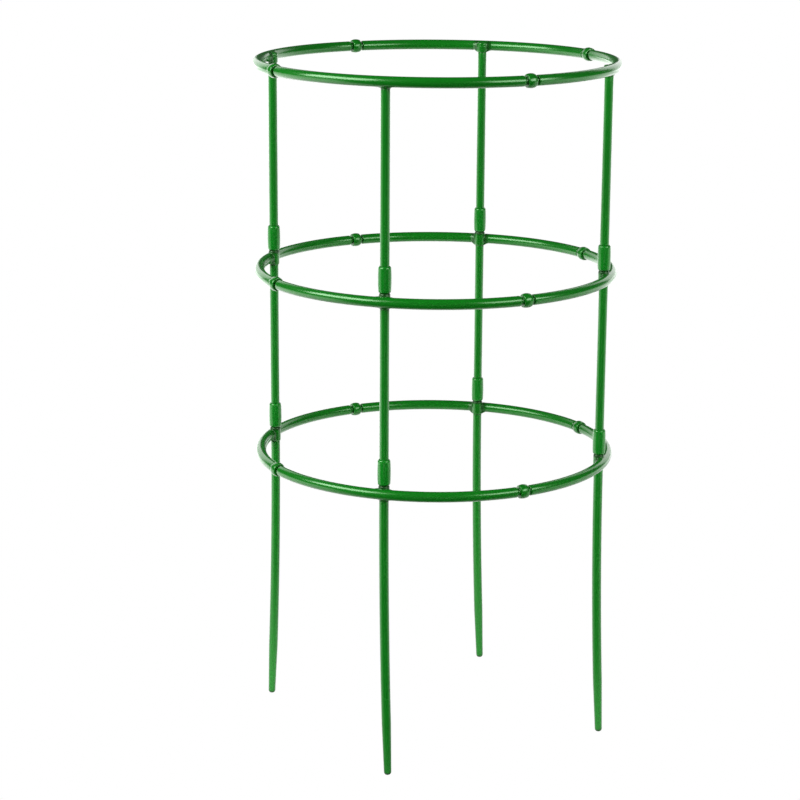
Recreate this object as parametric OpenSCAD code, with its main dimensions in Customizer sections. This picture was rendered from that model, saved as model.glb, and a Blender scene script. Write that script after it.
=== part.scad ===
// Tomato cage: three plug-together rings carried on four posts, moulded in green plastic.
// The stake points stand on z = 0 and the rings lie round the Z axis.
// The front post is on -Y, the right post on +X, the back post on +Y, the left post on -X.

/* [Rings] */
// Diameter of a ring, measured between the centres of its tube
ring_d = 300; // [260:2:400]
// Thickness of the ring tube
ring_tube_d = 8.7; // [8.2:0.1:10]
// How far the post axis lies inside the middle of the ring tube
post_inset = 3.7; // [2.5:0.1:4.5]

/* [Heights] */
// Height of the lower ring above the stake points
lower_ring_z = 245; // [180:1:320]
// Rise from the lower ring to the middle ring
middle_rise = 159; // [110:1:240]
// Rise from the middle ring to the top ring
top_rise = 175; // [110:1:260]

/* [Arc joints] */
// Length of the knuckle that closes one end of an arc
knuckle_len = 7.6; // [7:0.2:12]
// Diameter of the knuckle at its widest
knuckle_d = 11.8; // [11:0.1:14]
// How much smaller the knuckle is at its two ends
knuckle_draw = 1.4; // [0.8:0.1:2]
// Length of the narrow neck on each side of a knuckle
neck_len = 1.9; // [1:0.1:4]
// Diameter of the neck
neck_d = 6.2; // [5.8:0.1:7]
// Bevel on the end of the ring tube beside a neck
tube_bevel = 0.6; // [0.3:0.1:1]
// Diameter of the spigot on the other end of the arc
spigot_d = 4.8; // [4:0.1:5]
// Length of the spigot inside the knuckle
spigot_len = 6.4; // [5:0.2:6.4]

/* [Hubs] */
// Length of the hub that thickens the inside of the ring at a post
hub_len = 16; // [14:0.5:24]
// Thickness of the hub along the ring
hub_d = 8.9; // [8.6:0.1:11]
// How far the hub is set in from the middle of the ring tube
hub_shift = 1.2; // [0.8:0.1:1.6]
// Length of the slope from the hub down into the ring tube
hub_slope = 1.8; // [1.5:0.1:4]
// Diameter of the upright boss that the post passes through
boss_d = 9.2; // [9:0.1:11]
// Height of the boss above the middle of the ring tube
boss_rise = 7; // [5.6:0.1:9]
// Depth of the boss below the middle of the ring tube
boss_drop = 5.8; // [5.6:0.1:12]
// Thickness of the gussets under the hub
gusset_t = 4.4; // [3:0.1:6]
// Thickness of the roof that closes a top hub
roof_t = 1.8; // [1.2:0.1:2.4]
// How far the roof of a top hub lies below the top of the ring tube
roof_drop = 1.2; // [0.4:0.1:1.6]

/* [Posts] */
// Diameter of the rods
rod_d = 7.6; // [7:0.1:8.4]
// Diameter of the ground stakes
stake_d = 7.9; // [7.2:0.1:8.6]
// Diameter of the peg at the upper end of a rod or stake
peg_d = 5.4; // [4.6:0.1:6]
// Length of the tapered point of a stake
point_len = 44; // [30:1:90]
// Diameter at the end of the point
point_d = 6.2; // [4:0.1:6.8]
// Depth of the fine step where the point begins
point_step = 0.05; // [0.02:0.01:0.2]
// Depth of the flat worn on the end of the point
point_flat = 0.6; // [0.3:0.1:1]
// Lean of each stake's point from upright: front, right, back, left
stake_lean = [1.7, 2.6, 2.3, 2.2]; // [0.5:0.1:4]

/* [Couplers] */
// Outer diameter of a coupler at its middle
coupler_d = 11; // [10.6:0.1:13]
// How much smaller the coupler is at its two ends
coupler_draw = 0.5; // [0.2:0.1:0.8]
// Height of the coupler
coupler_len = 22; // [18:0.5:30]
// Depth of the lower socket, which takes the peg
peg_socket = 11; // [7:0.5:12]
// Rounding of the coupler's shoulder and foot
rim_r = 2; // [1:0.1:2.4]

/* [Fits] */
// Clearance all round between pieces that are pushed together
fit_gap = 0.06; // [0.02:0.01:0.1]
// Clearance past the end of a peg or spigot
end_gap = 0.4; // [0.2:0.1:1]
// Bevel on the ends of the rods, pegs and spigots
lead_in = 0.7; // [0.3:0.1:1]
// Bevel at the mouth of a coupler
mouth_bevel = 0.3; // [0.2:0.1:0.5]

/* [Hidden] */
$fn = 72;
// Facets round a whole ring, for the long sweeps
ring_fn = 360;
// Depth that joined shapes sink into each other
bite = 1;
ring_r = ring_d / 2;
tube_r = ring_tube_d / 2;
post_r = ring_r - post_inset;
middle_ring_z = lower_ring_z + middle_rise;
top_ring_z = middle_ring_z + top_rise;
quarter = 90;
// The knuckle's mouth lies half a knuckle past the midpoint between two posts
joint_turn = quarter / 2 + turn_of(knuckle_len / 2);
knuckle_turn = turn_of(knuckle_len);
// The full tube begins past the neck and its bevel
end_turn = turn_of(neck_len + tube_bevel + bite / 2);
gusset_reach = hub_len / 2;
// A rod stands on the step inside its coupler and stops below the next ring
seat_rise = boss_rise + peg_socket;
peg_len = boss_drop + seat_rise - end_gap;
top_bore = boss_drop + tube_r - roof_drop - roof_t;
top_peg_len = top_bore - end_gap;
middle_rod_len = middle_rise - seat_rise - boss_drop;
upper_rod_len = top_rise - seat_rise - boss_drop;
stake_drop = lower_ring_z - boss_drop;
ring_green = [0.08, 0.46, 0.14];
rod_green = [0.10, 0.52, 0.18];
coupler_green = [0.06, 0.40, 0.12];
front = 0;
right = 1;
back = 2;
left = 3;

// Angle that a length along the ring's centreline takes up
function turn_of(length) = length / ring_r * 180 / PI;

// Angle of a post round the Z axis
function post_turn(side) = side * quarter - 90;

// Places its children at a post, with +X pointing out of the cage
module at_post(side, z) {
    rotate([0, 0, post_turn(side)])
        translate([post_r, 0, z])
            children();
}

// Places its children on the ring's centreline, with +Z running back along the ring
module along_ring(turn) {
    rotate([0, 0, turn])
        translate([ring_r, 0, 0])
            rotate([90, 0, 0])
                children();
}

// Round peg on +Z with a bevelled end, sunk a little into what carries it
module peg(d, length) {
    translate([0, 0, -bite])
        cylinder(d = d, h = length - lead_in + bite);
    translate([0, 0, length - lead_in])
        cylinder(d1 = d, d2 = d - 2 * lead_in, h = lead_in);
}

// Half outline of the barrel-shaped knuckle, mouth at the bottom
module knuckle_outline() {
    sag = knuckle_draw / 2;
    barrel_r = (pow(knuckle_len / 2, 2) + pow(sag, 2)) / (2 * sag);
    intersection() {
        square([knuckle_d / 2, knuckle_len]);
        translate([knuckle_d / 2 - barrel_r, knuckle_len / 2])
            circle(r = barrel_r, $fn = ring_fn);
    }
}

// Narrow neck beside a knuckle and the bevelled tube end that it grows from, running along +Z
module tube_end(root) {
    plug_r = tube_r - point_step;
    shoulder = neck_len + tube_bevel;
    rotate_extrude()
        polygon([
            [0, -root],
            [neck_d / 2, -root],
            [neck_d / 2, neck_len],
            [plug_r - tube_bevel, neck_len],
            [plug_r, shoulder],
            [plug_r, shoulder + 2 * bite],
            [0, shoulder + 2 * bite]
        ]);
}

// Swelling on the inside of the ring at a post, turned about the ring's direction there, with sloping ends
module hub_swelling() {
    root_r = tube_r - hub_shift - bite / 4;
    flank = hub_len / 2;
    tail = flank + hub_slope;
    translate([-hub_shift, 0, 0])
        along_ring(0)
            rotate_extrude()
                polygon([
                    [0, -tail],
                    [root_r, -tail],
                    [hub_d / 2, -flank],
                    [hub_d / 2, flank],
                    [root_r, tail],
                    [0, tail]
                ]);
}

// Sloping webs under the ring, from the ends of the hub in to the boss
module hub_gussets() {
    foot = boss_d / 2 - bite / 2;
    translate([post_r + gusset_t / 2, 0, 0])
        rotate([90, 0, -90])
            linear_extrude(height = gusset_t)
                polygon([
                    [-gusset_reach, -tube_r + bite],
                    [-gusset_reach, -tube_r],
                    [-foot, bite / 2 - boss_drop],
                    [foot, bite / 2 - boss_drop],
                    [gusset_reach, -tube_r],
                    [gusset_reach, -tube_r + bite]
                ]);
}

// Upright boss round the post, its top either open under a coupler or closed level with the ring
module hub_boss(closed) {
    top = closed ? tube_r - roof_drop : boss_rise;
    translate([post_r, 0, 0])
        rotate_extrude()
            polygon([
                [0, -boss_drop],
                [boss_d / 2 - lead_in, -boss_drop],
                [boss_d / 2, lead_in - boss_drop],
                [boss_d / 2, top - lead_in],
                [boss_d / 2 - lead_in, top],
                [0, top]
            ]);
}

// Quarter of a ring: tube, hub, knuckle on one end and spigot on the other
module ring_arc(closed) {
    bore_d = peg_d + 2 * fit_gap;
    bore_len = closed ? top_bore : boss_drop + boss_rise + bite;
    difference() {
        union() {
            rotate([0, 0, joint_turn - quarter + end_turn])
                rotate_extrude(angle = quarter - 2 * end_turn - knuckle_turn, $fn = ring_fn)
                    translate([ring_r, 0])
                        circle(d = ring_tube_d);
            hub_swelling();
            hub_gussets();
            hub_boss(closed);
            along_ring(joint_turn)
                rotate_extrude()
                    knuckle_outline();
            along_ring(joint_turn - knuckle_turn)
                tube_end(bite);
            along_ring(joint_turn - quarter)
                rotate([180, 0, 0])
                    tube_end(0);
            along_ring(joint_turn - quarter)
                peg(spigot_d, spigot_len);
        }
        translate([post_r, 0, -boss_drop - bite])
            cylinder(d = bore_d, h = bore_len + bite);
        along_ring(joint_turn)
            translate([0, 0, -bite])
                cylinder(d = spigot_d + 2 * fit_gap, h = spigot_len + end_gap + bite);
    }
}

// Places a quarter arc in a ring
module arc_in_ring(side, z, closed) {
    color(ring_green)
        translate([0, 0, z])
            rotate([0, 0, post_turn(side)])
                ring_arc(closed);
}

// Straight rod standing on z = 0, with a shoulder and a peg at its upper end
module tier_rod(length, peg_length) {
    cylinder(d1 = rod_d - 2 * lead_in, d2 = rod_d, h = lead_in);
    translate([0, 0, lead_in])
        cylinder(d = rod_d, h = length - lead_in);
    translate([0, 0, length])
        peg(peg_d, peg_length);
}

// Stands a rod on the step inside the coupler of the ring below
module rod_in_tier(side, ring_z, length, peg_length) {
    color(rod_green)
        at_post(side, ring_z + seat_rise)
            tier_rod(length, peg_length);
}

// Tapered point of a stake on +Z, with a round end and a root that sinks into the bowed run
module stake_point() {
    root_r = stake_d / 2 - point_step;
    tip_r = point_d / 2;
    tip_arc = [for (a = [0:15:75]) [tip_r * cos(a), point_len + tip_r * sin(a)]];
    rotate_extrude()
        polygon(concat([[0, -bite], [root_r, -bite], [root_r, 0]], tip_arc, [[0, point_len + tip_r]]));
}

// Ground stake hung from its shoulder, swept along a gentle bow towards +X and tapered to a point
module ground_stake(lean) {
    bow_r = (stake_drop + point_flat - point_d / 2 - point_len * cos(lean)) / sin(lean);
    difference() {
        union() {
            peg(peg_d, peg_len);
            translate([bow_r, 0, 0])
                rotate([90, 0, 0])
                    rotate([0, 0, 180])
                        rotate_extrude(angle = lean, $fn = 8 * ring_fn)
                            translate([bow_r, 0])
                                circle(d = stake_d, $fn = 72);
            translate([bow_r * (1 - cos(lean)), 0, -bow_r * sin(lean)])
                rotate([180, -lean, 0])
                    stake_point();
        }
        translate([-stake_drop / 2, -stake_drop / 2, -stake_drop - 2 * point_d])
            cube([stake_drop, stake_drop, 2 * point_d]);
    }
}

// Hangs a stake under the lower ring, bowing the way the given heading points
module stake_under_ring(side, heading) {
    color(rod_green)
        at_post(side, stake_drop)
            rotate([0, 0, heading - post_turn(side)])
                ground_stake(stake_lean[side]);
}

// Half outline of the coupler's outside: barrel wall, round shoulder above and round foot below
module coupler_outline() {
    sag = coupler_draw / 2;
    half = coupler_len / 2 - rim_r;
    barrel_r = (pow(half, 2) + pow(sag, 2)) / (2 * sag);
    end_r = coupler_d / 2 - sag;
    round_x = end_r - rim_r;
    polygon([
        [0, 0],
        [round_x, 0],
        [end_r, rim_r],
        [end_r, coupler_len - rim_r],
        [round_x, coupler_len],
        [0, coupler_len]
    ]);
    translate([round_x, rim_r])
        circle(r = rim_r);
    translate([round_x, coupler_len - rim_r])
        circle(r = rim_r);
    intersection() {
        translate([0, rim_r])
            square([coupler_d / 2, 2 * half]);
        translate([coupler_d / 2 - barrel_r, coupler_len / 2])
            circle(r = barrel_r, $fn = 8 * ring_fn);
    }
}

// Sleeve that joins a peg below to the foot of a rod above
module coupler() {
    difference() {
        rotate_extrude()
            coupler_outline();
        translate([0, 0, -bite])
            cylinder(d = peg_d + 2 * fit_gap, h = peg_socket + 2 * bite);
        translate([0, 0, peg_socket])
            cylinder(d = rod_d + 2 * fit_gap, h = coupler_len - peg_socket + bite);
        translate([0, 0, coupler_len - 2 * mouth_bevel])
            cylinder(d1 = rod_d, d2 = rod_d + 4 * mouth_bevel, h = 2 * mouth_bevel + bite / 100);
    }
}

// Seats a coupler on the hub boss of a ring
module coupler_on_ring(side, ring_z) {
    color(coupler_green)
        at_post(side, ring_z + boss_rise)
            coupler();
}

module top_arc_front() { arc_in_ring(front, top_ring_z, true); }
module top_arc_right() { arc_in_ring(right, top_ring_z, true); }
module top_arc_back() { arc_in_ring(back, top_ring_z, true); }
module top_arc_left() { arc_in_ring(left, top_ring_z, true); }
module middle_arc_front() { arc_in_ring(front, middle_ring_z, false); }
module middle_arc_right() { arc_in_ring(right, middle_ring_z, false); }
module middle_arc_back() { arc_in_ring(back, middle_ring_z, false); }
module middle_arc_left() { arc_in_ring(left, middle_ring_z, false); }
module lower_arc_front() { arc_in_ring(front, lower_ring_z, false); }
module lower_arc_right() { arc_in_ring(right, lower_ring_z, false); }
module lower_arc_back() { arc_in_ring(back, lower_ring_z, false); }
module lower_arc_left() { arc_in_ring(left, lower_ring_z, false); }
module upper_rod_front() { rod_in_tier(front, middle_ring_z, upper_rod_len, top_peg_len); }
module upper_rod_right() { rod_in_tier(right, middle_ring_z, upper_rod_len, top_peg_len); }
module upper_rod_back() { rod_in_tier(back, middle_ring_z, upper_rod_len, top_peg_len); }
module upper_rod_left() { rod_in_tier(left, middle_ring_z, upper_rod_len, top_peg_len); }
module middle_rod_front() { rod_in_tier(front, lower_ring_z, middle_rod_len, peg_len); }
module middle_rod_right() { rod_in_tier(right, lower_ring_z, middle_rod_len, peg_len); }
module middle_rod_back() { rod_in_tier(back, lower_ring_z, middle_rod_len, peg_len); }
module middle_rod_left() { rod_in_tier(left, lower_ring_z, middle_rod_len, peg_len); }
module stake_front() { stake_under_ring(front, 0); }
module stake_right() { stake_under_ring(right, 0); }
module stake_back() { stake_under_ring(back, 0); }
module stake_left() { stake_under_ring(left, 180); }
module middle_coupler_front() { coupler_on_ring(front, middle_ring_z); }
module middle_coupler_right() { coupler_on_ring(right, middle_ring_z); }
module middle_coupler_back() { coupler_on_ring(back, middle_ring_z); }
module middle_coupler_left() { coupler_on_ring(left, middle_ring_z); }
module lower_coupler_front() { coupler_on_ring(front, lower_ring_z); }
module lower_coupler_right() { coupler_on_ring(right, lower_ring_z); }
module lower_coupler_back() { coupler_on_ring(back, lower_ring_z); }
module lower_coupler_left() { coupler_on_ring(left, lower_ring_z); }

top_arc_front();
top_arc_right();
top_arc_back();
top_arc_left();
middle_arc_front();
middle_arc_right();
middle_arc_back();
middle_arc_left();
lower_arc_front();
lower_arc_right();
lower_arc_back();
lower_arc_left();
upper_rod_front();
upper_rod_right();
upper_rod_back();
upper_rod_left();
middle_rod_front();
middle_rod_right();
middle_rod_back();
middle_rod_left();
stake_front();
stake_right();
stake_back();
stake_left();
middle_coupler_front();
middle_coupler_right();
middle_coupler_back();
middle_coupler_left();
lower_coupler_front();
lower_coupler_right();
lower_coupler_back();
lower_coupler_left();
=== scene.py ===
# %% [markdown]
# # A tomato cage in glossy green plastic
# Three rings stand on four posts, and the posts run down into four ground stakes.
# Every piece is injection moulded and pushed into the next one by hand.
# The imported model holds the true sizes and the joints. This script gives the pieces their moulded
# skins, their plastic and the light of a small product studio.

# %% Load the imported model
import math

import bmesh
import bpy
from mathutils import Matrix, Vector


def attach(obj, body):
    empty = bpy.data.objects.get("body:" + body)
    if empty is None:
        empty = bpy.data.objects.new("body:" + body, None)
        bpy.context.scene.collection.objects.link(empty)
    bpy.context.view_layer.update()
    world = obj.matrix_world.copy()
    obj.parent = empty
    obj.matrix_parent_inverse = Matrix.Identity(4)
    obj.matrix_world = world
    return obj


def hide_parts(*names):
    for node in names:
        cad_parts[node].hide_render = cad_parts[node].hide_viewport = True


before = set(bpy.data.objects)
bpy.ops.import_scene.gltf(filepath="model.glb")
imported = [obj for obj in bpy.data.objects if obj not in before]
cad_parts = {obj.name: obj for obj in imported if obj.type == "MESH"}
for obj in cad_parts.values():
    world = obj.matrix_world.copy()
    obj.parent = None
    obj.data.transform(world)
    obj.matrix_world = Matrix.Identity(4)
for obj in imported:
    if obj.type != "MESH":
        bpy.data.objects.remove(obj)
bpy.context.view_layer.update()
scene = bpy.context.scene

# %% [markdown]
# ## Camera
# A ring seen at a slant is an ellipse. How flat the ellipse is gives the height of the camera, and
# the change from the top ring to the lower one gives its distance.
# The four posts then give the turn round the cage, so these few values place the camera by measurement.
# Lengths are metres, and the lens and its sensor are millimetres.

# %% Place the camera
CAMERA_TURN = math.radians(16.78)
CAMERA_DROP = math.radians(14.33)
CAMERA_ROLL = math.radians(-0.32)
CAMERA_DISTANCE = 2.010
CAMERA_LENS = 104.4
SENSOR_WIDTH = 36
SIGHT_END = 60
AIM_SIDE = -0.0296
AIM_HEIGHT = 0.2876
UP = Vector((0, 0, 1))

to_right = Vector((math.cos(CAMERA_TURN), math.sin(CAMERA_TURN), 0))
away = Vector((-math.sin(CAMERA_TURN), math.cos(CAMERA_TURN), 0))
forward = away * math.cos(CAMERA_DROP) - UP * math.sin(CAMERA_DROP)
upward = to_right.cross(forward)

camera = bpy.data.objects.new("camera", bpy.data.cameras.new("camera"))
scene.collection.objects.link(camera)
scene.camera = camera
camera.data.lens = CAMERA_LENS
camera.data.sensor_width = SENSOR_WIDTH
camera.data.clip_end = SIGHT_END
aim = to_right * AIM_SIDE + UP * AIM_HEIGHT
axes = Matrix((to_right, upward, -forward)).transposed()
rolled = Matrix.Rotation(CAMERA_ROLL, 3, forward) @ axes
camera.matrix_world = Matrix.Translation(aim - forward * CAMERA_DISTANCE) @ rolled.to_4x4()
print("camera at", [round(v, 3) for v in camera.matrix_world.translation])

# %% [markdown]
# ## Dark room
# Glossy plastic shows what stands round it. The rods are dark along the middle and pale along both
# sides, so the room behind the camera is dark and the table on either side is white.
# The room is white for the camera's own rays alone, because the picture has a white background.

# %% Darken the room
WHITE = (1, 1, 1, 1)
ROOM_GREY = (0.07, 0.07, 0.07, 1)

scene.view_settings.view_transform = "Standard"


def node_in(tree, kind, place, **settings):
    """A new node with its settings and with the inputs that are given by name."""
    node = tree.nodes.new(kind)
    node.location = place
    for key, value in settings.items():
        if key in node.bl_rna.properties:
            setattr(node, key, value)
        else:
            node.inputs[key.replace("_", " ")].default_value = value
    return node


def wire(tree, *links):
    """Joins sockets: each link names a node, its output, the next node and its input."""
    for source, output, target, socket in links:
        tree.links.new(source.outputs[output], target.inputs[socket])


world = bpy.data.worlds.new("dark_room")
scene.world = world
world.use_nodes = True
tree = world.node_tree
tree.nodes.clear()
rays = node_in(tree, "ShaderNodeLightPath", (-400, 200))
room = node_in(tree, "ShaderNodeBackground", (-400, 0), Color=ROOM_GREY)
paper = node_in(tree, "ShaderNodeBackground", (-400, -160), Color=WHITE)
either = node_in(tree, "ShaderNodeMixShader", (-150, 0))
out = node_in(tree, "ShaderNodeOutputWorld", (50, 0))
wire(tree, (rays, "Is Camera Ray", either, 0), (room, 0, either, 1), (paper, 0, either, 2),
     (either, 0, out, 0))
print("room", world.name)

# %% [markdown]
# ## White table
# The table is white for the camera in every direction. Seen by the plastic, a wedge of it towards the
# camera fades to black, which is what a photographer does with black card laid in front of the object.
# In reflections the table grows brighter with distance. Its near part on the right is dimmed there, because
# the right flanks of the rings are darker than the left ones.

# %% Lay the table
TABLE_HALF = 14
WEDGE_SLOPE = 0.45
PLAIN_GLOW = 0.6

table_mesh = bpy.data.meshes.new("table")
corners = [(x * TABLE_HALF, y * TABLE_HALF, 0) for x, y in ((-1, -1), (1, -1), (1, 1), (-1, 1))]
table_mesh.from_pydata(corners, [], [(0, 1, 2, 3)])
table = bpy.data.objects.new("table", table_mesh)
scene.collection.objects.link(table)

sheet = bpy.data.materials.new("white_table")
sheet.use_nodes = True
tree = sheet.node_tree
tree.nodes.clear()
coords = node_in(tree, "ShaderNodeTexCoord", (-1300, 0))
nearness = node_in(tree, "ShaderNodeVectorMath", (-1100, 100), operation="DOT_PRODUCT")
nearness.inputs[1].default_value = -away
aside = node_in(tree, "ShaderNodeVectorMath", (-1100, -100), operation="DOT_PRODUCT")
aside.inputs[1].default_value = to_right
off_middle = node_in(tree, "ShaderNodeMath", (-900, -100), operation="ABSOLUTE")
wedge = node_in(tree, "ShaderNodeMath", (-700, 0), operation="MULTIPLY_ADD")
wedge.inputs[1].default_value = -WEDGE_SLOPE
fade = node_in(tree, "ShaderNodeMapRange", (-500, 0), interpolation_type="SMOOTHSTEP",
               From_Min=-0.05, From_Max=0.25, To_Min=0.9, To_Max=0.02)
matte = node_in(tree, "ShaderNodeBsdfDiffuse", (-500, -250))
distance = node_in(tree, "ShaderNodeVectorMath", (-1100, -350), operation="LENGTH")
far = node_in(tree, "ShaderNodeMapRange", (-900, -350), interpolation_type="SMOOTHSTEP",
              From_Min=0.3, From_Max=1.3, To_Min=0.35, To_Max=2.1)
dim = node_in(tree, "ShaderNodeMapRange", (-1100, -650), interpolation_type="SMOOTHSTEP",
              From_Min=0.7, From_Max=1.5, To_Min=0.2, To_Max=0.95)
lean = node_in(tree, "ShaderNodeMapRange", (-900, -600), interpolation_type="SMOOTHSTEP",
               From_Min=-0.3, From_Max=0.4, To_Min=1.2)
sided = node_in(tree, "ShaderNodeMath", (-800, -500), operation="MULTIPLY")
shine = node_in(tree, "ShaderNodeMix", (-700, -400), data_type="FLOAT")
shine.inputs[2].default_value = PLAIN_GLOW
lit = node_in(tree, "ShaderNodeEmission", (-500, -400))
lightbox = node_in(tree, "ShaderNodeAddShader", (-300, -250))
glow = node_in(tree, "ShaderNodeEmission", (-300, -160), Color=WHITE)
rays = node_in(tree, "ShaderNodeLightPath", (-300, 300))
either = node_in(tree, "ShaderNodeMixShader", (-50, 0))
out = node_in(tree, "ShaderNodeOutputMaterial", (150, 0))
wire(tree, (coords, "Object", nearness, 0), (coords, "Object", aside, 0), (aside, "Value", off_middle, 0),
     (off_middle, 0, wedge, 0), (nearness, "Value", wedge, 2), (wedge, 0, fade, "Value"))
wire(tree, (coords, "Object", distance, 0), (distance, "Value", far, "Value"),
     (distance, "Value", dim, "Value"), (dim, 0, lean, "To Max"), (aside, "Value", lean, "Value"),
     (far, 0, sided, 0), (lean, 0, sided, 1), (sided, 0, shine, 3), (rays, "Is Glossy Ray", shine, 0),
     (shine, 0, lit, "Strength"))
wire(tree, (fade, 0, matte, "Color"), (fade, 0, lit, "Color"), (matte, 0, lightbox, 0), (lit, 0, lightbox, 1),
     (rays, "Is Camera Ray", either, 0), (lightbox, 0, either, 1), (glow, 0, either, 2), (either, 0, out, 0))
table_mesh.materials.append(sheet)
print("table", table.name, "of", 2 * TABLE_HALF, "m")

# %% [markdown]
# ## Four softboxes and a fill
# A bright line lies on the front left and a shorter one on the front right of each ring.
# They are the images of two softboxes above the top ring, and where a line lies gives the turn of its box.
# Two more stand behind the cage and bleach the outermost bends of the rings, where the plastic is seen at
# a slant.
# The fill stands low in front. Its narrow spread lightens the stakes, which the high boxes reach least, and
# it is hidden from reflections, so it leaves no glint of its own.

# %% Hang the lights


def softbox(name, turn, distance, height, aim_height, size, power, glints=True, spread=180):
    """A rectangular lamp aimed at the cage's middle line; turn is from the camera, in degrees."""
    lamp = bpy.data.lights.new(name, "AREA")
    lamp.shape = "RECTANGLE"
    lamp.size, lamp.size_y = size
    lamp.energy = power
    lamp.spread = math.radians(spread)
    obj = bpy.data.objects.new(name, lamp)
    heading = math.radians(turn)
    flat = to_right * math.sin(heading) - away * math.cos(heading)
    obj.location = flat * distance + UP * height
    obj.rotation_euler = (UP * aim_height - obj.location).to_track_quat("-Z", "Y").to_euler()
    obj.visible_glossy = glints
    scene.collection.objects.link(obj)
    return obj


lamps = [
    softbox("left_box", turn=-64, distance=1.25, height=1.20, aim_height=0.45, size=(1.15, 0.7), power=42),
    softbox("right_box", turn=51, distance=1.30, height=0.98, aim_height=0.45, size=(1.0, 0.55), power=19),
    softbox("left_rim", turn=-150, distance=1.50, height=0.80, aim_height=0.40, size=(0.9, 1.1), power=6),
    softbox("right_rim", turn=150, distance=1.50, height=0.80, aim_height=0.40, size=(0.9, 1.1), power=6),
    softbox("front_fill", turn=0, distance=1.3, height=0.15, aim_height=0.08, size=(1.2, 0.3),
            power=1.5, glints=False, spread=60),
]
print("lamps:", [lamp.name for lamp in lamps])

# %% [markdown]
# ## Effects that the plastics share
# All pieces are the same polypropylene, so they share their small faults and their painted shade. Each is a
# shader group with named sockets, and a group gives back a colour, a mask or a height and never a whole
# shader.
# The first is the tone: pigment mixes unevenly into hot plastic and leaves slow clouds and fine flecks.

# %% Group for the tone of the pigment
FLECK_SHARE = 0.35
NOISE_MIDDLE = 0.5


def shader_group(name, inputs, outputs):
    """An empty group with the sockets that are asked for, and the nodes at its two ends."""
    group = bpy.data.node_groups.new(name, "ShaderNodeTree")
    for label, kind, value in inputs:
        socket = group.interface.new_socket(label, in_out="INPUT", socket_type="NodeSocket" + kind)
        socket.default_value = value
    for label, kind in outputs:
        group.interface.new_socket(label, in_out="OUTPUT", socket_type="NodeSocket" + kind)
    return group, group.nodes.new("NodeGroupInput"), group.nodes.new("NodeGroupOutput")


tone_group, given, result = shader_group(
    "pigment_tone",
    [("Base", "Color", (0, 0.15, 0, 1)), ("Cloud Scale", "Float", 16), ("Amount", "Float", 0.2)],
    [("Color", "Color")])
place = node_in(tone_group, "ShaderNodeTexCoord", (-900, 0))
clouds = node_in(tone_group, "ShaderNodeTexNoise", (-700, 100), Detail=2, Roughness=0.5)
flecks = node_in(tone_group, "ShaderNodeTexNoise", (-700, -150), Scale=420, Detail=1)
both = node_in(tone_group, "ShaderNodeMath", (-500, 0), operation="MULTIPLY_ADD")
both.inputs[1].default_value = FLECK_SHARE
swing = node_in(tone_group, "ShaderNodeMath", (-320, 0), operation="SUBTRACT")
swing.inputs[1].default_value = NOISE_MIDDLE * (1 + FLECK_SHARE)
scaled = node_in(tone_group, "ShaderNodeMath", (-160, 0), operation="MULTIPLY_ADD")
scaled.inputs[2].default_value = 1
shade = node_in(tone_group, "ShaderNodeHueSaturation", (20, 0))
wire(tone_group, (place, "Object", clouds, "Vector"), (place, "Object", flecks, "Vector"),
     (given, "Cloud Scale", clouds, "Scale"), (flecks, "Fac", both, 0), (clouds, "Fac", both, 2),
     (both, 0, swing, 0), (swing, 0, scaled, 0), (given, "Amount", scaled, 1), (scaled, 0, shade, "Value"),
     (given, "Base", shade, "Color"), (shade, "Color", result, "Color"))
print("group", tone_group.name)

# %% [markdown]
# The skin of a moulded piece copies the tool. A polished tool leaves gloss with slow waves in it, and
# handling dulls it in small patches. Both come from noise: one output sets the roughness, the other is
# a height for the bump.

# %% Group for the moulded skin
GRAIN_SHARE = 0.015

skin_group, given, result = shader_group(
    "mould_skin",
    [("Polish", "Float", 0.25), ("Wear", "Float", 0.1), ("Wave Scale", "Float", 70)],
    [("Roughness", "Float"), ("Height", "Float")])
place = node_in(skin_group, "ShaderNodeTexCoord", (-900, 0))
patches = node_in(skin_group, "ShaderNodeTexNoise", (-700, 200), Scale=38, Detail=4, Roughness=0.6)
dull = node_in(skin_group, "ShaderNodeMapRange", (-500, 200), From_Min=0.5, From_Max=0.8)
sum_up = node_in(skin_group, "ShaderNodeMath", (-300, 200), operation="MULTIPLY_ADD")
waves = node_in(skin_group, "ShaderNodeTexNoise", (-700, -50), Detail=1)
grain = node_in(skin_group, "ShaderNodeTexNoise", (-700, -300), Scale=1900, Detail=2)
fine = node_in(skin_group, "ShaderNodeMath", (-500, -200), operation="MULTIPLY_ADD")
fine.inputs[1].default_value = GRAIN_SHARE
for texture in (patches, waves, grain):
    wire(skin_group, (place, "Object", texture, "Vector"))
wire(skin_group, (given, "Wave Scale", waves, "Scale"), (patches, "Fac", dull, "Value"),
     (dull, 0, sum_up, 0), (given, "Wear", sum_up, 1), (given, "Polish", sum_up, 2),
     (grain, "Fac", fine, 0), (waves, "Fac", fine, 2), (sum_up, 0, result, "Roughness"),
     (fine, 0, result, "Height"))
print("group", skin_group.name)
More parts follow.
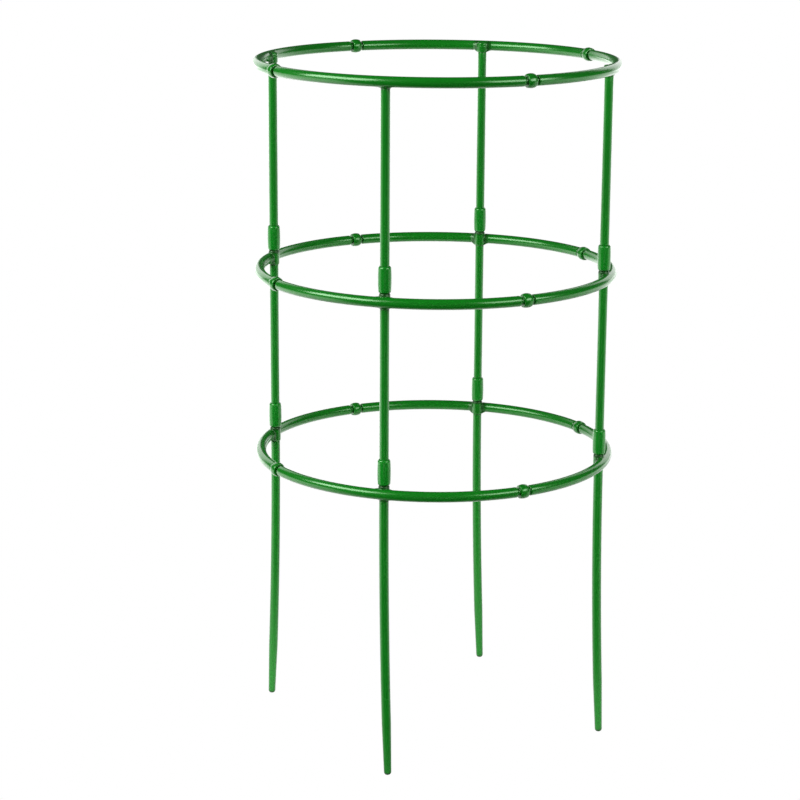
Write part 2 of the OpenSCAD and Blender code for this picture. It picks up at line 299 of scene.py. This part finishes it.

# %% [markdown]
# Two masks follow the shape. Edges rub pale where pieces are pushed together. The grooves beside the
# knuckles and under the couplers get painted shade: their colour is darkened where little light gets in.
# The first compares the true normal with a rounded one, the second asks how much of the sky is hidden.
# A piece can also bring its own mark of painted shade, named shade, for a deep corner or a spot in its
# neighbour's shadow.

# %% Group for rubbed edges and painted shade in deep grooves
form_group, given, result = shader_group(
    "rubbed_edges_and_painted_shade",
    [("Groove Reach", "Float", 0.009), ("Edge Width", "Float", 0.0006)],
    [("Painted Shade", "Float"), ("Edge", "Float"), ("Normal", "Vector")])
# The groove mask is painted shade: it darkens the colour where the sky is hidden, and adds the piece's own
# shade mark.
hidden = node_in(form_group, "ShaderNodeAmbientOcclusion", (-600, 200), samples=8)
painted_groove_shade = node_in(form_group, "ShaderNodeMapRange", (-400, 200), interpolation_type="SMOOTHSTEP",
                 From_Min=0.86, From_Max=0.2)
marked = node_in(form_group, "ShaderNodeAttribute", (-600, 400), attribute_name="shade")
painted_shade = node_in(form_group, "ShaderNodeMath", (-200, 250), operation="MAXIMUM")
rounded = node_in(form_group, "ShaderNodeBevel", (-600, -100), samples=6)
straight = node_in(form_group, "ShaderNodeNewGeometry", (-600, -300))
match = node_in(form_group, "ShaderNodeVectorMath", (-400, -150), operation="DOT_PRODUCT")
edge = node_in(form_group, "ShaderNodeMapRange", (-200, -150), From_Min=0.985, From_Max=0.86)
wire(form_group, (given, "Groove Reach", hidden, "Distance"), (hidden, "AO", painted_groove_shade, "Value"),
     (given, "Edge Width", rounded, "Radius"), (rounded, "Normal", match, 0), (straight, "Normal", match, 1),
     (match, "Value", edge, "Value"), (painted_groove_shade, 0, painted_shade, 0), (marked, "Fac", painted_shade, 1),
     (painted_shade, 0, result, "Painted Shade"), (edge, 0, result, "Edge"), (rounded, "Normal", result, "Normal"))
print("group", form_group.name)

# %% [markdown]
# ## Three greens
# Rings, posts and couplers come from three moulds and three batches, so their greens differ a little. The
# posts and couplers are also set lighter than the rings as painted light, for the light that the upright
# pieces get less of.
# Each material keeps its own shader and takes its colour, roughness, bump and normal from the groups.
# The reflections are tinted green, which plain plastic doesn't do, because the highlights to match are green.

# %% Mix the plastics
PLASTIC_IOR = 1.49
GLOSS_TINT = (0.6, 1, 0.6, 1)
RUB_STRENGTH = 0.06
RUB_GAIN = 2.2
RUB_LIFT = 0.012
# Colour of the painted shade in grooves and in marked corners.
PAINTED_SHADE_COLOR = (0, 0.012, 0, 1)
PAINTED_SHADE_ROUGHNESS = 0.45


def plastic(name, base, polish, wear, amount):
    """Glossy green plastic with uneven pigment, pale rubbed edges and painted shade in its grooves."""
    material = bpy.data.materials.new(name)
    material.use_nodes = True
    tree = material.node_tree
    shader = tree.nodes["Principled BSDF"]
    shader.inputs["IOR"].default_value = PLASTIC_IOR
    shader.inputs["Specular Tint"].default_value = GLOSS_TINT
    tone = node_in(tree, "ShaderNodeGroup", (-900, 300), node_tree=tone_group, Base=base, Amount=amount)
    skin = node_in(tree, "ShaderNodeGroup", (-900, 0), node_tree=skin_group, Polish=polish, Wear=wear)
    form = node_in(tree, "ShaderNodeGroup", (-900, -250), node_tree=form_group)
    rubbed = node_in(tree, "ShaderNodeMix", (-600, 300), data_type="RGBA", blend_type="MIX")
    rubbed.inputs[7].default_value = [min(1, RUB_GAIN * v + RUB_LIFT) for v in base[:3]] + [1]
    pale = node_in(tree, "ShaderNodeMath", (-760, 120), operation="MULTIPLY")
    pale.inputs[1].default_value = RUB_STRENGTH
    # The painted shade mask darkens the colour here and dulls the gloss below.
    dark = node_in(tree, "ShaderNodeMix", (-400, 300), data_type="RGBA", blend_type="MIX")
    dark.inputs[7].default_value = PAINTED_SHADE_COLOR
    blunt = node_in(tree, "ShaderNodeMix", (-400, 50), data_type="FLOAT")
    blunt.inputs[3].default_value = PAINTED_SHADE_ROUGHNESS
    bump = node_in(tree, "ShaderNodeBump", (-400, -150), Strength=0.15, Distance=0.00025)
    wire(tree, (tone, "Color", rubbed, 6), (form, "Edge", pale, 0), (pale, 0, rubbed, 0),
         (rubbed, 2, dark, 6), (form, "Painted Shade", dark, 0), (dark, 2, shader, "Base Color"))
    wire(tree, (skin, "Roughness", blunt, 2), (form, "Painted Shade", blunt, 0), (blunt, 0, shader, "Roughness"))
    wire(tree, (skin, "Height", bump, "Height"), (form, "Normal", bump, "Normal"),
         (bump, "Normal", shader, "Normal"))
    return material


# Partly painted light: the post and coupler greens are lighter than the ring green to make up for their
# dimmer lighting.
ring_green = plastic("ring_green", base=(0.002, 0.094, 0.004, 1), polish=0.22, wear=0.06, amount=0.22)
post_green = plastic("post_green", base=(0.002, 0.107, 0.005, 1), polish=0.25, wear=0.07, amount=0.22)
coupler_green = plastic("coupler_green", base=(0.002, 0.116, 0.006, 1), polish=0.23, wear=0.06, amount=0.2)
print("plastics:", ring_green.name, post_green.name, coupler_green.name)

# %% [markdown]
# ## One sweep for every round piece
# Arcs, rods and stakes are all turned shapes: a round section that follows a path and swells or narrows
# on the way. A Geometry Nodes tree does exactly that. The path comes in as a line of points, each with
# its radius and a side direction, and a circle is swept along it.
# Two points of the circle are pushed out a hair, in the side direction. They draw the parting line, the
# fine ridge that the two halves of a mould leave along a piece.

# %% Build the sweep
SEAM_SPOT = 0.9999

sweep = bpy.data.node_groups.new("moulded_sweep", "GeometryNodeTree")
for label, kind in (("Path", "Geometry"), ("Sides", "Int"), ("Seam", "Float"), ("Plastic", "Material")):
    sweep.interface.new_socket(label, in_out="INPUT", socket_type="NodeSocket" + kind)
sweep.interface.new_socket("Piece", in_out="OUTPUT", socket_type="NodeSocketGeometry")
given = node_in(sweep, "NodeGroupInput", (-1000, 0))
result = node_in(sweep, "NodeGroupOutput", (900, 0))
line = node_in(sweep, "GeometryNodeMeshToCurve", (-700, 150))
side = node_in(sweep, "GeometryNodeInputNamedAttribute", (-700, -50), data_type="FLOAT_VECTOR", Name="side")
swell = node_in(sweep, "GeometryNodeInputNamedAttribute", (-100, -250), data_type="FLOAT", Name="swell")
turned = node_in(sweep, "GeometryNodeSetCurveNormal", (-450, 150), mode="FREE")
circle = node_in(sweep, "GeometryNodeCurvePrimitiveCircle", (-700, -250), Radius=1)
spot = node_in(sweep, "GeometryNodeInputPosition", (-700, -450))
split = node_in(sweep, "ShaderNodeSeparateXYZ", (-550, -450))
wide = node_in(sweep, "ShaderNodeMath", (-400, -450), operation="ABSOLUTE")
ends = node_in(sweep, "ShaderNodeMath", (-250, -450), operation="GREATER_THAN")
ends.inputs[1].default_value = SEAM_SPOT
ridge = node_in(sweep, "ShaderNodeMath", (-100, -450), operation="MULTIPLY")
push = node_in(sweep, "ShaderNodeVectorMath", (50, -450), operation="SCALE")
seam = node_in(sweep, "GeometryNodeSetPosition", (-100, -80))
body = node_in(sweep, "GeometryNodeCurveToMesh", (150, 100), Fill_Caps=True)
smooth = node_in(sweep, "GeometryNodeSetShadeSmooth", (350, 100))
real = node_in(sweep, "GeometryNodeRealizeInstances", (530, 100))
paint = node_in(sweep, "GeometryNodeSetMaterial", (700, 100))
wire(sweep, (given, "Path", line, 0), (line, 0, turned, "Curve"), (side, 0, turned, "Normal"),
     (given, "Sides", circle, "Resolution"))
wire(sweep, (spot, 0, split, 0), (split, "X", wide, 0), (wide, 0, ends, 0), (ends, 0, ridge, 0),
     (given, "Seam", ridge, 1), (spot, 0, push, 0), (ridge, 0, push, "Scale"))
wire(sweep, (circle, 0, seam, "Geometry"), (push, 0, seam, "Offset"), (turned, 0, body, "Curve"),
     (seam, 0, body, "Profile Curve"), (swell, 0, body, "Scale"))
wire(sweep, (body, 0, smooth, 0), (smooth, 0, real, 0), (real, 0, paint, "Geometry"),
     (given, "Plastic", paint, "Material"), (paint, 0, result, "Piece"))
print("sweep with", len(sweep.nodes), "nodes")

# %% [markdown]
# A piece is drawn as the outline that a lathe would cut: length along the path and radius. From here on all
# sizes are in millimetres, and they are turned into metres where a mesh is made.
# Moulded corners are never sharp, so each corner is first replaced by a small curve. The outline is then
# laid on the path, and the tree makes the mesh.

# %% Helpers that draw an outline and sweep it
MM = 0.001
CORNER_STEPS = 4
CORNER_SHARE = 0.45
SEAM_SHARE = 0.012


def softened(outline, reach):
    """The outline with each corner replaced by a short curve."""
    points = [Vector(p) for p in outline]
    soft = [points[0]]
    for before, corner, after in zip(points, points[1:], points[2:]):
        back, on = before - corner, after - corner
        start = corner + back * min(CORNER_SHARE, reach / back.length)
        end = corner + on * min(CORNER_SHARE, reach / on.length)
        for i in range(CORNER_STEPS + 1):
            t = i / CORNER_STEPS
            soft.append(start * (1 - t) ** 2 + corner * 2 * t * (1 - t) + end * t * t)
    return soft + [points[-1]]


def stepped(outline, longest):
    """The outline with long straight runs cut into short steps."""
    fine = [outline[0]]
    for a, b in zip(outline, outline[1:]):
        count = max(1, math.ceil((b - a).length / longest))
        fine += [a.lerp(b, (i + 1) / count) for i in range(count)]
    return fine


def swept(name, outline, path, sides, material):
    """A mesh swept along a path: path(length) gives a point and a side direction, in millimetres."""
    places = [path(p.x) for p in outline]
    mesh = bpy.data.meshes.new(name + "_path")
    mesh.from_pydata([p * MM for p, _ in places], [(i, i + 1) for i in range(len(places) - 1)], [])
    mesh.attributes.new("swell", "FLOAT", "POINT").data.foreach_set("value", [p.y * MM for p in outline])
    flat = [v for _, across in places for v in across]
    mesh.attributes.new("side", "FLOAT_VECTOR", "POINT").data.foreach_set("vector", flat)
    draft = bpy.data.objects.new(name + "_draft", mesh)
    scene.collection.objects.link(draft)
    modifier = draft.modifiers.new("sweep", "NODES")
    modifier.node_group = sweep
    sockets = {item.name: item.identifier for item in sweep.interface.items_tree if item.in_out == "INPUT"}
    modifier[sockets["Sides"]] = sides
    modifier[sockets["Seam"]] = SEAM_SHARE
    modifier[sockets["Plastic"]] = material
    made = bpy.data.meshes.new_from_object(draft.evaluated_get(bpy.context.evaluated_depsgraph_get()))
    made.name = name
    bpy.data.objects.remove(draft)
    bpy.data.meshes.remove(mesh)
    return made


print("helpers: softened, stepped, swept")

# %% [markdown]
# ## The quarter arc
# From its plain end an arc has a straight spigot, a narrow neck, a bevel, the long tube, a second bevel and
# neck, and the barrel of the knuckle. All of that is one outline, bent round the ring.
# An upright face leans by a hair, because a sweep can't have two radii at one place.

# %% Sweep one arc
RING_R = 150
TUBE_R = 4.35
KNUCKLE_LEN = 7.6
BARREL_END_R = 5.4
BARREL_SWELL = 0.5
BARREL_RIM_R = 5.0
BARREL_STEPS = 8
MARGIN_SHARE = 0.06
NECK_LEN = 1.9
NECK_R = 3.1
BEVEL_LEN = 0.65
BEVEL_R = 3.7
SPIGOT_LEN = 6.4
SPIGOT_R = 2.4
LEAD_IN = 0.7
HAIR = 0.05
THIN_HAIR = 0.03
TIP_R = 0.05
ARC_CORNER = 0.5
ARC_STEP = 1.6
ARC_SIDES = 56
QUARTER = RING_R * math.pi / 2
JOINT_TURN = math.pi / 4 + KNUCKLE_LEN / 2 / RING_R

barrel_foot = QUARTER - KNUCKLE_LEN
neck_foot = barrel_foot - NECK_LEN
barrel = []
for i in range(BARREL_STEPS + 1):
    t = i / BARREL_STEPS
    along = KNUCKLE_LEN * (MARGIN_SHARE + (1 - 2 * MARGIN_SHARE) * t)
    barrel.append((barrel_foot + along, BARREL_END_R + BARREL_SWELL * (1 - (2 * t - 1) ** 2)))
spigot = [(-SPIGOT_LEN, TIP_R), (THIN_HAIR - SPIGOT_LEN, SPIGOT_R - LEAD_IN),
          (LEAD_IN - SPIGOT_LEN, SPIGOT_R), (-THIN_HAIR, SPIGOT_R)]
tube = [(0, NECK_R), (NECK_LEN, NECK_R), (NECK_LEN + HAIR, BEVEL_R), (NECK_LEN + BEVEL_LEN, TUBE_R),
        (neck_foot - BEVEL_LEN, TUBE_R), (neck_foot - HAIR, BEVEL_R), (neck_foot, NECK_R),
        (barrel_foot, NECK_R)]
knuckle = [(barrel_foot + HAIR, BARREL_RIM_R)] + barrel + [(QUARTER - HAIR, BARREL_RIM_R), (QUARTER, TIP_R)]
arc_outline = softened(spigot + tube + knuckle, ARC_CORNER)


def round_the_ring(length):
    """A point of the ring's centreline; the spigot, before 0, runs straight on."""
    turn = JOINT_TURN - math.pi / 2 + max(0, length) / RING_R
    outward = Vector((math.cos(turn), math.sin(turn), 0))
    along = Vector((-outward.y, outward.x, 0))
    return outward * RING_R + along * min(0, length), outward


arc_mesh = swept("arc_sweep", stepped(arc_outline, ARC_STEP), round_the_ring, ARC_SIDES, ring_green)
print("arc sweep:", len(arc_mesh.polygons), "faces")

# %% [markdown]
# The knuckle takes the next arc's spigot, so a blind bore is drilled into its mouth with a Boolean. The drill
# starts a little outside, so that its end and the mouth never lie in one plane.

# %% Drill the knuckle
FIT_GAP = 0.06
BORE_LEN = 6.8
BORE_R = SPIGOT_R + FIT_GAP
OVERRUN = 1
DRILL_SIDES = 64
TOGETHER = 0.001


def drill(start, way, length, radius):
    """A cylinder that begins at a point and runs along a direction, in millimetres."""
    place = Matrix.Translation((start + way * length / 2) * MM)
    place = place @ way.to_track_quat("Z", "Y").to_matrix().to_4x4()
    shape = bmesh.new()
    bmesh.ops.create_cone(shape, cap_ends=True, segments=DRILL_SIDES, radius1=radius * MM,
                          radius2=radius * MM, depth=length * MM, matrix=place)
    mesh = bpy.data.meshes.new("drill")
    shape.to_mesh(mesh)
    shape.free()
    return mesh


def combined(mesh, tool_mesh, operation):
    """Two closed meshes made into one, points that fall together merged; the second is used up."""
    draft = bpy.data.objects.new("draft", mesh)
    tool = bpy.data.objects.new("tool", tool_mesh)
    scene.collection.objects.link(draft)
    scene.collection.objects.link(tool)
    step = draft.modifiers.new("combine", "BOOLEAN")
    step.operation = operation
    step.solver = "EXACT"
    step.object = tool
    made = bpy.data.meshes.new_from_object(draft.evaluated_get(bpy.context.evaluated_depsgraph_get()))
    bpy.data.objects.remove(draft)
    bpy.data.objects.remove(tool)
    bpy.data.meshes.remove(tool_mesh)
    shape = bmesh.new()
    shape.from_mesh(made)
    bmesh.ops.remove_doubles(shape, verts=shape.verts, dist=TOGETHER * MM)
    shape.to_mesh(made)
    shape.free()
    return made


mouth, outward = round_the_ring(QUARTER)
inward = Vector((outward.y, -outward.x, 0))
mouth_drill = drill(mouth - inward * OVERRUN, inward, BORE_LEN + OVERRUN, BORE_R)
arc_mesh = combined(arc_mesh, mouth_drill, "DIFFERENCE")
print("drilled arc:", len(arc_mesh.polygons), "faces")

# %% [markdown]
# ## The hub in the middle of an arc
# The hub is where a moulder blends shapes: the tube, an upright boss, two webs and a swelling run into
# each other with round fillets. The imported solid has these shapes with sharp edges.
# A copy of its middle is cut out and its bore is plugged. Wrapped in a fine even skin and smoothed, every
# inner and outer corner is rounded at once.

# %% Wrap a hub
POST_R = 146.3
BOSS_DROP = 5.8
BOSS_RISE = 7
TOP_BORE = 7.15
PEG_R = 2.7
HUB_BORE_R = PEG_R + FIT_GAP
HUB_REACH = 13
PLUG_INSET = 0.1
PLUG_OVERLAP = 0.3
SKIN_CELL = 0.3
SKIN_PASSES = 36
RING_Z = {"lower": 245, "middle": 404, "top": 579}


def cut_hub(node, ring_z, closed):
    """The middle of a packed arc, brought to the origin, with its bore plugged."""
    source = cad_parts[node]
    shape = bmesh.new()
    shape.from_mesh(source.data)
    shape.transform(Matrix.Translation((0, 0, -ring_z * MM)) @ source.matrix_world)
    bmesh.ops.remove_doubles(shape, verts=shape.verts, dist=TOGETHER * MM)
    for way in (1, -1):
        everything = shape.verts[:] + shape.edges[:] + shape.faces[:]
        cut = bmesh.ops.bisect_plane(shape, geom=everything, plane_co=(0, way * HUB_REACH * MM, 0),
                                     plane_no=(0, way, 0), clear_outer=True)
        rim = [part for part in cut["geom_cut"] if isinstance(part, bmesh.types.BMEdge)]
        bmesh.ops.contextual_create(shape, geom=rim)
    bore = TOP_BORE if closed else BOSS_DROP + BOSS_RISE - 2 * PLUG_INSET
    plug = drill(Vector((POST_R, 0, PLUG_INSET - BOSS_DROP)), UP, bore, HUB_BORE_R + PLUG_OVERLAP)
    shape.from_mesh(plug)
    bpy.data.meshes.remove(plug)
    mesh = bpy.data.meshes.new(node + "_cut")
    shape.to_mesh(mesh)
    shape.free()
    return mesh


def wrapped(mesh):
    """A smooth closed skin round a mesh, which is used up."""
    draft = bpy.data.objects.new(mesh.name + "_draft", mesh)
    scene.collection.objects.link(draft)
    wrap = draft.modifiers.new("wrap", "REMESH")
    wrap.mode = "VOXEL"
    wrap.voxel_size = SKIN_CELL * MM
    wrap.use_smooth_shade = True
    soften = draft.modifiers.new("soften", "SMOOTH")
    soften.factor = 0.5
    soften.iterations = SKIN_PASSES
    made = bpy.data.meshes.new_from_object(draft.evaluated_get(bpy.context.evaluated_depsgraph_get()))
    bpy.data.objects.remove(draft)
    bpy.data.meshes.remove(mesh)
    return made


closed_skin = wrapped(cut_hub("top_arc_right", RING_Z["top"], True))
open_skin = wrapped(cut_hub("middle_arc_right", RING_Z["middle"], False))
print("hub skins:", len(closed_skin.polygons), "and", len(open_skin.polygons), "faces")

# %% [markdown]
# The skin is drawn in towards the tube, the more the further from the boss, so that the webs become smooth
# flares and the ends dive under the swept tube without a step.
# Skin and tube are united into one closed mesh, and the bore for the post is drilled into it last. Their two
# material slots tell them apart until the seam between them has been marked as a sharp edge.

# %% Unite hub and tube
TO_MM = 1000
FLARE_START, FLARE_LEN = 4, 5.5
DIVE_START, DIVE_LEN = 6, 4
TUBE_ZONE = 0.8
PROUD = 0.1
DIVE_DEPTH = 0.35
SHARP_ANGLE = 0.7


def eased(t):
    """A smooth step from 0 to 1."""
    t = min(1, max(0, t))
    return t * t * (3 - 2 * t)


def draw_in(skin, closed):
    """Moves the points of a hub's skin towards the tube, away from the boss."""
    tube_r = TUBE_R * MM
    for vertex in skin.vertices:
        reach = math.hypot(vertex.co.x, vertex.co.y)
        off = Vector((reach - RING_R * MM, vertex.co.z))
        from_boss = abs(vertex.co.y) * TO_MM
        keep = 1 - eased((from_boss - FLARE_START) / FLARE_LEN)
        sink = eased((from_boss - DIVE_START) / DIVE_LEN)
        if off.x > TUBE_ZONE * MM or (closed and off.y > 0):
            sink = 1
        drawn = tube_r + (off.length - tube_r) * keep if off.length > tube_r else off.length
        if abs(off.length - tube_r) < TUBE_ZONE * MM or sink < 1:
            drawn += (PROUD - DIVE_DEPTH * sink) * MM
        off *= drawn / max(off.length, 1e-6)
        scale = (RING_R * MM + off.x) / reach
        vertex.co = (vertex.co.x * scale, vertex.co.y * scale, off.y)


def arc_with_hub(name, skin, closed):
    """The swept arc and its hub as one closed mesh, with the bore for the post."""
    whole = arc_mesh.copy()
    draw_in(skin, closed)
    for mesh in (whole, skin):
        mesh.materials.clear()
        mesh.materials.append(ring_green)
        mesh.materials.append(ring_green)
    skin.polygons.foreach_set("material_index", [1] * len(skin.polygons))
    whole = combined(whole, skin, "UNION")
    bore = (TOP_BORE if closed else BOSS_DROP + BOSS_RISE + OVERRUN) + OVERRUN
    post_drill = drill(Vector((POST_R, 0, -BOSS_DROP - OVERRUN)), UP, bore, HUB_BORE_R)
    whole = combined(whole, post_drill, "DIFFERENCE")
    whole.name = name
    shape = bmesh.new()
    shape.from_mesh(whole)
    for edge in shape.edges:
        same = len({face.material_index for face in edge.link_faces}) == 1
        edge.smooth = same and edge.is_manifold and edge.calc_face_angle() < SHARP_ANGLE
    for face in shape.faces:
        face.material_index = 0
        face.smooth = True
    shape.to_mesh(whole)
    loose = sum(not edge.is_manifold for edge in shape.edges)
    print(name, "faces:", len(shape.faces), "open edges:", loose)
    shape.free()
    whole.materials.pop()
    return whole


closed_arc = arc_with_hub("closed_arc", closed_skin, True)
open_arc = arc_with_hub("open_arc", open_skin, False)

# %% [markdown]
# That shade is painted: each point gets a mark that says how much it is shaded, and the plastic's painted
# shade mask reads it and darkens the colour.

# %% Mark the places for painted shade
CORNER_START, CORNER_RISE = 3.4, 1.6
CORNER_END, CORNER_FALL = 9.5, 4
CORNER_SHADE = 0.7
INNER_START, INNER_RISE = 1.2, 1.8
COLLAR_R = 5.6
COLLAR_START, COLLAR_RISE = 4.1, 1.2
COLLAR_SHADE = 0.85


def paint_shade_marks(mesh, under_coupler):
    """Marks painted shade on the corners beside the boss, and on the top of a hub that a coupler stands over.
    """
    marks = []
    for vertex in mesh.vertices:
        x, y, z = vertex.co * TO_MM
        beside = eased((abs(y) - CORNER_START) / CORNER_RISE) * eased((CORNER_END - abs(y)) / CORNER_FALL)
        inner = eased((RING_R - INNER_START - math.hypot(x, y)) / INNER_RISE)
        mark = CORNER_SHADE * beside * inner
        if under_coupler and math.hypot(x - POST_R, y) < COLLAR_R:
            mark = max(mark, COLLAR_SHADE * eased((z - COLLAR_START) / COLLAR_RISE))
        marks.append(mark)
    mesh.attributes.new("shade", "FLOAT", "POINT").data.foreach_set("value", marks)
    print(mesh.name, "shaded points:", sum(mark > 0 for mark in marks))


paint_shade_marks(closed_arc, False)
paint_shade_marks(open_arc, True)

# %% [markdown]
# ## Twelve arcs in three rings
# A ring is four equal arcs, each a quarter turn further round. The finished mesh is copied and turned
# itself, so every object stays at the origin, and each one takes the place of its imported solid.

# %% Set out the arcs
SIDES = {"front": -90, "right": 0, "back": 90, "left": 180}


def placed(name, mesh, matrix, body):
    """A copy of a mesh moved into place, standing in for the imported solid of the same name."""
    own = mesh.copy()
    own.name = name + "_mesh"
    own.transform(matrix)
    piece = bpy.data.objects.new(name + "_piece", own)
    scene.collection.objects.link(piece)
    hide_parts(name)
    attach(piece, body)
    return piece


arcs = []
for tier, z in RING_Z.items():
    for where, turn in SIDES.items():
        matrix = Matrix.Translation((0, 0, z * MM)) @ Matrix.Rotation(math.radians(turn), 4, "Z")
        mesh = closed_arc if tier == "top" else open_arc
        arcs.append(placed(f"{tier}_arc_{where}", mesh, matrix, tier + "_tier"))
print("arcs:", len(arcs))

# %% [markdown]
# ## Rods between the rings
# A rod is a plain round bar with a small bevel at its foot, and a shoulder and a peg at its head.
# The foot stands inside a coupler and the peg stands in the hub above, and a middle rod's peg also
# passes through its hub into the next coupler.

# %% Sweep the rods
ROD_R = 3.8
ROD_STEP = 12
LONG_PEG = 23.4
SHORT_PEG = 6.7
SEAT_RISE = 18
POST_CORNER = 0.3
POST_SIDES = 48


def peg_outline(start, length):
    """The last points of an outline that ends in a peg."""
    end = start + length
    return [(start, PEG_R), (end - LEAD_IN, PEG_R), (end - THIN_HAIR, PEG_R - LEAD_IN), (end, TIP_R)]


def rod_outline(length, peg):
    """A rod from its foot to the end of its peg."""
    foot = [(0, TIP_R), (THIN_HAIR, ROD_R - LEAD_IN), (LEAD_IN, ROD_R), (length - HAIR, ROD_R)]
    return softened(foot + peg_outline(length, peg), POST_CORNER)


def upright(length):
    """A point of a straight path that climbs from the origin."""
    return UP * length, Vector((0, 1, 0))


rods = []
for kind, foot, head, peg in (("middle", "lower", "middle", LONG_PEG), ("upper", "middle", "top", SHORT_PEG)):
    length = RING_Z[head] - RING_Z[foot] - SEAT_RISE - BOSS_DROP
    outline = stepped(rod_outline(length, peg), ROD_STEP)
    mesh = swept(kind + "_rod_sweep", outline, upright, POST_SIDES, post_green)
    lift = Matrix.Translation((POST_R * MM, 0, (RING_Z[foot] + SEAT_RISE) * MM))
    for where, turn in SIDES.items():
        matrix = Matrix.Rotation(math.radians(turn), 4, "Z") @ lift
        rods.append(placed(f"{kind}_rod_{where}", mesh, matrix, head + "_tier"))
print("rods:", len(rods))

# %% [markdown]
# ## Stakes
# A stake hangs under the lower ring. It bows a little, because a long thin moulding never stays straight
# as it cools, and each of the four bows by its own amount. The last 44 mm taper to a blunt round point.

# %% Sweep the stakes
STAKE_R = 3.95
STAKE_STEP = 6
STAKE_DROP = RING_Z["lower"] - BOSS_DROP
POINT_LEN = 44
POINT_R = 3.1
POINT_FLAT = 0.6
POINT_STEP = 0.6
POINT_STEPS = 4
LEAN = {"front": 1.7, "right": 2.6, "back": 2.3, "left": 2.2}


def stake(where):
    """One stake from the top of its peg to its point."""
    lean = math.radians(LEAN[where])
    way = -1 if where == "left" else 1
    bow_r = (STAKE_DROP + POINT_FLAT - POINT_R - POINT_LEN * math.cos(lean)) / math.sin(lean)
    run = bow_r * lean

    def path(length):
        if length < 0:
            return upright(-length)
        bend = min(length, run) / bow_r
        spot = Vector((bow_r * (1 - math.cos(bend)), 0, -bow_r * math.sin(bend)))
        spot += Vector((math.sin(bend), 0, -math.cos(bend))) * max(0, length - run)
        return Vector((way * spot.x, 0, spot.z)), Vector((0, 1, 0))

    peg = [(-length, radius) for length, radius in reversed(peg_outline(0, LONG_PEG))]
    shaft = [(HAIR, STAKE_R), (run, STAKE_R), (run + POINT_LEN, POINT_R)]
    tip = [run + POINT_LEN + POINT_STEP * i for i in range(1, POINT_STEPS + 1)]
    point = [(x, math.sqrt(POINT_R ** 2 - (x - run - POINT_LEN) ** 2)) for x in tip]
    outline = softened(peg + shaft + point + [(tip[-1] + HAIR, TIP_R)], POST_CORNER)
    return swept("stake_sweep_" + where, stepped(outline, STAKE_STEP), path, POST_SIDES, post_green)


stakes = []
for where, turn in SIDES.items():
    spot = Matrix.Rotation(math.radians(turn), 4, "Z") @ Vector((POST_R * MM, 0, STAKE_DROP * MM))
    matrix = Matrix.Translation(spot)
    stakes.append(placed("stake_" + where, stake(where), matrix, "lower_tier"))
print("stakes:", len(stakes))

# %% [markdown]
# ## Couplers
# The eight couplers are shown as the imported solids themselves. They are short sleeves with rounded ends,
# and their shape needs nothing added, so they only take their plastic.

# %% Dress the couplers
couplers = [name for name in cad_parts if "coupler" in name]
for name in couplers:
    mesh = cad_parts[name].data
    mesh.materials.clear()
    mesh.materials.append(coupler_green)
print("couplers:", len(couplers))
